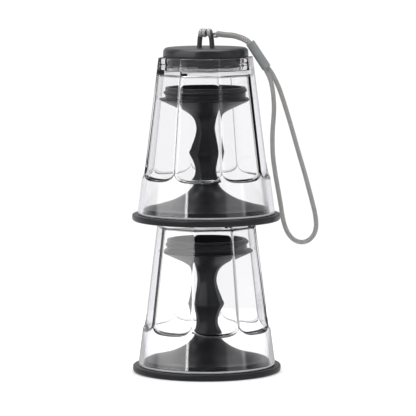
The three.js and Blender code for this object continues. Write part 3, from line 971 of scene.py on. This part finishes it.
def braid_relief(along, across):
    """Yarns crossing in chevrons raise and lower the cord's surface."""
    phase = along / 1.5 + 0.9 * np.abs(across) / (CORD_WIDTH / 2)
    return 1 + 0.07 * (np.abs(np.sin(math.pi * phase)) - 0.6)


def lanyard_cord():
    """One cord, doubled: from the hitch through the slider, round the wrist loop and back."""
    front = [(x - 0.4, y - 2.8, z - 0.5) for x, y, z in STRAND_BACK]
    along = (SLIDER_BOTTOM - SLIDER_TOP) / np.linalg.norm(SLIDER_BOTTOM - SLIDER_TOP)
    side = np.array([0, -0.85, 0])
    inside = [SLIDER_TOP + along * d for d in (3.5, 9.0, 14.5)]
    down = [tuple(p + side) for p in inside]
    up = [tuple(p - side) for p in reversed(inside)]
    route = front + down + WRIST_LOOP + up + STRAND_BACK[::-1]
    line = smooth_line(route, 0.4)
    facing = np.tile([0.0, -1.0, 0.0], (len(line), 1))
    place = np.linspace(0, 1, len(line))
    facing[:, 0] = 0.35 * np.sin(place * 11)
    section = oval(CORD_WIDTH, CORD_THICKNESS, 20, 0.8)
    cord = swept("lanyard_braid", line, section, BRAID, facing, relief=braid_relief)
    length = np.sum(np.linalg.norm(np.diff(line, axis=0), axis=1))
    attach(cord, "cap")
    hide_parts("lanyard_strand_back", "lanyard_strand_front", "lanyard_wrist_loop")
    return cord, line, length


def lanyard_knot():
    """The hitch.

    The doubled cord comes round behind the loop's bar, over it and under its own bight."""
    along, behind, bar = loop_frame()
    up = np.array([0, 0, 1.0])
    rings = []
    section = oval(2.3, 1.4, 14)
    a = np.arange(40) / 40 * 2 * math.pi
    reach = 2.25
    for i, (offset, lean) in enumerate(((-3.0, 0.3), (-0.6, 0.15), (2.9, -0.2))):
        ring = (
            bar
            + (offset + lean * np.cos(a))[:, None] * along
            + reach * np.cos(a)[:, None] * up
            + reach * np.sin(a)[:, None] * behind
        )
        outward = reach * (np.cos(a)[:, None] * up + np.sin(a)[:, None] * behind)
        # The wraps take the lighter braid, with light from above painted into its colour.
        rings.append(swept(f"hitch_wrap_{i}", ring, section, LIT_BRAID, outward, True, braid_relief))
    bight = smooth_line(
        [
            bar + along * -2.6 + behind * 2.3 - up * 0.9,
            bar + along * -1.6 + behind * 3.4 - up * 0.5,
            bar + along * 0.2 + behind * 3.6 - up * 0.2,
            bar + along * 1.8 + behind * 3.0 - up * 0.3,
            bar + along * 3.2 + behind * 2.4 - up * 0.5,
            bar + along * 5.2 + behind * 1.8 - up * 0.7,
            np.array([7.5, -2.3, 219.2]),
        ],
        0.4,
    )
    rings.append(swept("hitch_bight", bight, oval(2.4, 1.5, 14, 0.8), BRAID, -up, False, braid_relief))
    under = bight + np.array([0.0, -1.0, -1.3]) * np.linspace(0.4, 1.6, len(bight))[:, None]
    rings.append(swept("hitch_tail", under, oval(2.0, 1.4, 14, 0.8), BRAID, -up, False, braid_relief))
    for ring in rings:
        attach(ring, "cap")
    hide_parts("lanyard_knot")
    return rings


def lanyard_slider():
    length = np.linalg.norm(SLIDER_TOP - SLIDER_BOTTOM)
    corners = [
        (2.1, -0.3, 0.3),
        (3.05, -0.3, 0.3),
        (2.95, length + 0.4, 1.5),
        (2.1, length + 0.4, 0.2),
    ]
    angles = np.arange(96) / 96 * 2 * math.pi
    sleeve = turned("lanyard_sleeve", filleted(corners, steps=6), SLEEVE, 0, angles)
    axis = Vector(SLIDER_TOP - SLIDER_BOTTOM).normalized()
    turn = Vector((0, 0, 1)).rotation_difference(axis).to_matrix().to_4x4()
    turn.translation = Vector(SLIDER_BOTTOM * MM)
    sleeve.data.transform(turn)
    face_outward(sleeve)
    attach(sleeve, "cap")
    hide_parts("lanyard_slider")
    return sleeve


knot = lanyard_knot()
sleeve = lanyard_slider()
cord, cord_line, cord_length = lanyard_cord()

# ---------------------------------------------------------------- goblets


def carried(piece, body, node):
    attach(piece, body)
    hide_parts(node)


def goblet(name, base, foot_turn, stem_turn, glass_turn):
    for piece, body, node, slot in (
        (foot(name, base, foot_turn), f"{name}_foot", f"{name}_foot", "black_plastic"),
        (foot_seal(name, base), f"{name}_foot", f"{name}_foot_seal", "seal_rubber"),
        (stem(name, base, stem_turn), f"{name}_foot", f"{name}_stem", "black_plastic"),
        (glass(name, base, glass_turn), f"{name}_glass", f"{name}_glass", "clear_plastic"),
    ):
        face_outward(piece)
        carried(piece, body, node)
    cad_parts[f"{name}_stem_screw"].data.materials[0] = STEEL
    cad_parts[f"{name}_foot_gasket"].data.materials[0] = SEAL


goblet("lower", LOWER_BASE, 0, LOWER_STEM_TURN, LOWER_GLASS_TURN)
goblet("upper", UPPER_BASE, LOWER_GLASS_TURN, UPPER_STEM_TURN, UPPER_GLASS_TURN)

cap_piece = cap()
face_outward(cap_piece)
carried(cap_piece, "cap", "cap")
carried(cap_loop(), "cap", "cap_loop")
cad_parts["cap_gasket"].data.materials[0] = SEAL

# ---------------------------------------------------------------- stage and light

FLOOR_RADIUS = 300
FLOOR_SIDES = 96
FLOOR_HEIGHT = -0.05
FLOOR_GLOW = 0.15
MIRRORED_FLOOR = 0.55  # how bright the floor is in the black pieces
STUDIO_STRENGTH = 10.0
BACKDROP_STRENGTH = 1.05
SWEEP_EDGE = (-13, -10)  # degrees of elevation where the white sweep gives way to the room behind
HORIZON = (-1, 3)  # degrees of elevation where the ground gives way to the tent's walls


def add_floor():
    a = np.arange(FLOOR_SIDES) / FLOOR_SIDES * 2 * math.pi
    rim = np.column_stack(
        [FLOOR_RADIUS * np.cos(a), FLOOR_RADIUS * np.sin(a), np.full(FLOOR_SIDES, FLOOR_HEIGHT)]
    )
    material, n = new_material("floor_white")
    lit = n.add("ShaderNodeBsdfDiffuse", Color=(0.9, 0.9, 0.9, 1))
    glow = n.add("ShaderNodeEmission", Strength=FLOOR_GLOW)
    white = n.add("ShaderNodeAddShader")
    n.link(lit, white, 0, 0)
    n.link(glow, white, 0, 1)
    # Black pieces mirror a grey floor, as they do in a tent with a dark camera side.
    grey = n.add("ShaderNodeEmission", Strength=MIRRORED_FLOOR)
    mirrored = n.mirrored(n.add("ShaderNodeLightPath"))
    body = n.add("ShaderNodeMixShader")
    n.link(mirrored, body, 0, "Fac")
    n.link(white, body, 0, 1)
    n.link(grey, body, 0, 2)
    # From below the floor is clear, so that the underside shows.
    geometry = n.add("ShaderNodeNewGeometry")
    clear = n.add("ShaderNodeBsdfTransparent")
    facing = n.add("ShaderNodeMixShader")
    n.link(geometry, facing, "Backfacing", "Fac")
    n.link(body, facing, 0, 1)
    n.link(clear, facing, 0, 2)
    out = n.add("ShaderNodeOutputMaterial")
    n.link(facing, out, 0, "Surface")
    floor = mesh_object("floor", rim, [tuple(range(FLOOR_SIDES))], material)


def add_world():
    """A white tent with a dark camera side, tall softboxes on both sides and grey gaps at the back."""
    world = bpy.data.worlds.new("studio")
    bpy.context.scene.world = world
    world.use_nodes = True
    n = Nodes(world.node_tree)
    coordinates = n.add("ShaderNodeTexCoord")
    parts = n.add("ShaderNodeSeparateXYZ")
    n.link(coordinates, parts, "Generated", "Vector")
    negated = n.add("ShaderNodeMath", operation="MULTIPLY")
    n.link(parts, negated, "Y", 0)
    negated.inputs[1].default_value = -1
    azimuth = n.add("ShaderNodeMath", operation="ARCTAN2")
    n.link(parts, azimuth, "X", 0)
    n.link(negated, azimuth, 0, 1)
    around = n.math("MULTIPLY_ADD", azimuth, 0.5 / math.pi, 0.5)
    elevation = n.add("ShaderNodeMath", operation="ARCSINE")
    n.link(parts, elevation, "Z", 0)

    def at(degrees):
        return 0.5 + degrees / 360

    # Above the horizon: what the black pieces and the glass reflect.
    sides = n.ramp(
        [
            (at(-180), 0.106),
            (at(-145), 0.09),
            (at(-122), 0.040),
            (at(-97), 0.022),
            (at(-92), 0.20),
            (at(-64), 0.24),
            (at(-38), 0.19),
            (at(-37.4), 0.22),
            (at(-36.0), 0.95),
            (at(-34.2), 0.95),
            (at(-32.6), 0.003),
            (at(33), 0.003),
            (at(38), 0.06),
            (at(65), 0.065),
            (at(66.5), 0.18),
            (at(70), 0.18),
            (at(72), 0.010),
            (at(96), 0.024),
            (at(122), 0.040),
            (at(145), 0.09),
            (at(180), 0.106),
        ],
        around,
    )
    # Below it: a white sweep straight behind, grey on its right, and the dark room on both sides.
    ground = n.ramp(
        [
            (at(-180), 0.110),
            (at(-157), 0.110),
            (at(-152), 0.035),
            (at(-138), 0.032),
            (at(-112), 0.030),
            (at(-85), 0.080),
            (at(85), 0.080),
            (at(112), 0.032),
            (at(138), 0.035),
            (at(166), 0.040),
            (at(170), 0.110),
            (at(180), 0.110),
        ],
        around,
    )
    path = n.add("ShaderNodeLightPath")
    mirrored = n.mirrored(path)
    # The dark room stands beyond the sweep, so it is only seen near the horizon.
    distant = n.add("ShaderNodeMapRange", interpolation_type="SMOOTHSTEP")
    n.link(elevation, distant, 0, "Value")
    distant.inputs["From Min"].default_value = math.radians(SWEEP_EDGE[0])
    distant.inputs["From Max"].default_value = math.radians(SWEEP_EDGE[1])
    sweep = n.add("ShaderNodeMix", data_type="RGBA")
    n.tree.links.new(distant.outputs[0], sweep.inputs["Factor"])
    sweep.inputs[6].default_value = (0.095, 0.095, 0.095, 1)
    n.tree.links.new(ground.outputs[0], sweep.inputs[7])
    below = n.add("ShaderNodeMix", data_type="RGBA")
    n.tree.links.new(mirrored.outputs[0], below.inputs["Factor"])
    n.tree.links.new(sweep.outputs[2], below.inputs[6])
    # What mirrored light sees of the ground: brighter behind the object than on the camera's side.
    mirrored_ground = n.ramp(
        [
            (at(-180), (0.086, 0.085, 0.088)),
            (at(-105), (0.084, 0.083, 0.087)),
            (at(-80), (0.050, 0.049, 0.052)),
            (at(80), (0.050, 0.049, 0.052)),
            (at(105), (0.080, 0.079, 0.083)),
            (at(180), (0.086, 0.085, 0.088)),
        ],
        around,
    )
    n.tree.links.new(mirrored_ground.outputs[0], below.inputs[7])
    # Seen straight through a clear piece the tent is white all round. The black pieces mirror its
    # softboxes, and its back wall, which is dimmer above the sweep.
    back = n.ramp(
        [
            (at(-180), 0.5),
            (at(-160), 0.6),
            (at(-140), 1.0),
            (at(140), 1.0),
            (at(152), 0.35),
            (at(180), 0.4),
        ],
        around,
    )
    dimmed = n.add("ShaderNodeMix", data_type="RGBA", blend_type="MULTIPLY")
    dimmed.inputs["Factor"].default_value = 1.0
    n.tree.links.new(sides.outputs[0], dimmed.inputs[6])
    n.tree.links.new(back.outputs[0], dimmed.inputs[7])
    sky = n.add("ShaderNodeMix", data_type="RGBA")
    n.tree.links.new(mirrored.outputs[0], sky.inputs["Factor"])
    sky.inputs[6].default_value = (0.085, 0.085, 0.085, 1)
    n.tree.links.new(dimmed.outputs[2], sky.inputs[7])
    above = n.add("ShaderNodeMapRange", interpolation_type="SMOOTHSTEP")
    n.link(elevation, above, 0, "Value")
    above.inputs["From Min"].default_value = math.radians(HORIZON[0])
    above.inputs["From Max"].default_value = math.radians(HORIZON[1])
    pattern = n.add("ShaderNodeMix", data_type="RGBA")
    n.tree.links.new(above.outputs[0], pattern.inputs["Factor"])
    n.tree.links.new(below.outputs[2], pattern.inputs[6])
    n.tree.links.new(sky.outputs[2], pattern.inputs[7])
    studio = n.add("ShaderNodeBackground", Strength=STUDIO_STRENGTH)
    n.tree.links.new(pattern.outputs[2], studio.inputs["Color"])
    backdrop = n.add("ShaderNodeBackground", Strength=BACKDROP_STRENGTH)
    backdrop.inputs["Color"].default_value = (1, 1, 1, 1)
    mix = n.add("ShaderNodeMixShader")
    n.link(path, mix, "Is Camera Ray", "Fac")
    n.link(studio, mix, 0, 1)
    n.link(backdrop, mix, 0, 2)
    out = n.add("ShaderNodeOutputWorld")
    n.link(mix, out, 0, "Surface")


def add_light(name, place, target, size, power):
    """An area light, with its place, target and size in metres and its power in watts."""
    data = bpy.data.lights.new(name, "AREA")
    data.shape = "RECTANGLE"
    data.size, data.size_y = size
    data.energy = power
    light = bpy.data.objects.new(name, data)
    light.location = place
    aim = Vector(target) - Vector(place)
    light.rotation_euler = aim.to_track_quat("-Z", "Y").to_euler()
    bpy.context.scene.collection.objects.link(light)


add_floor()
add_world()
add_light("overhead", place=(0, 0.1, 1.3), target=(0, 0, 0.1), size=(1.2, 1.2), power=13)
bpy.context.scene.view_settings.view_transform = "Standard"
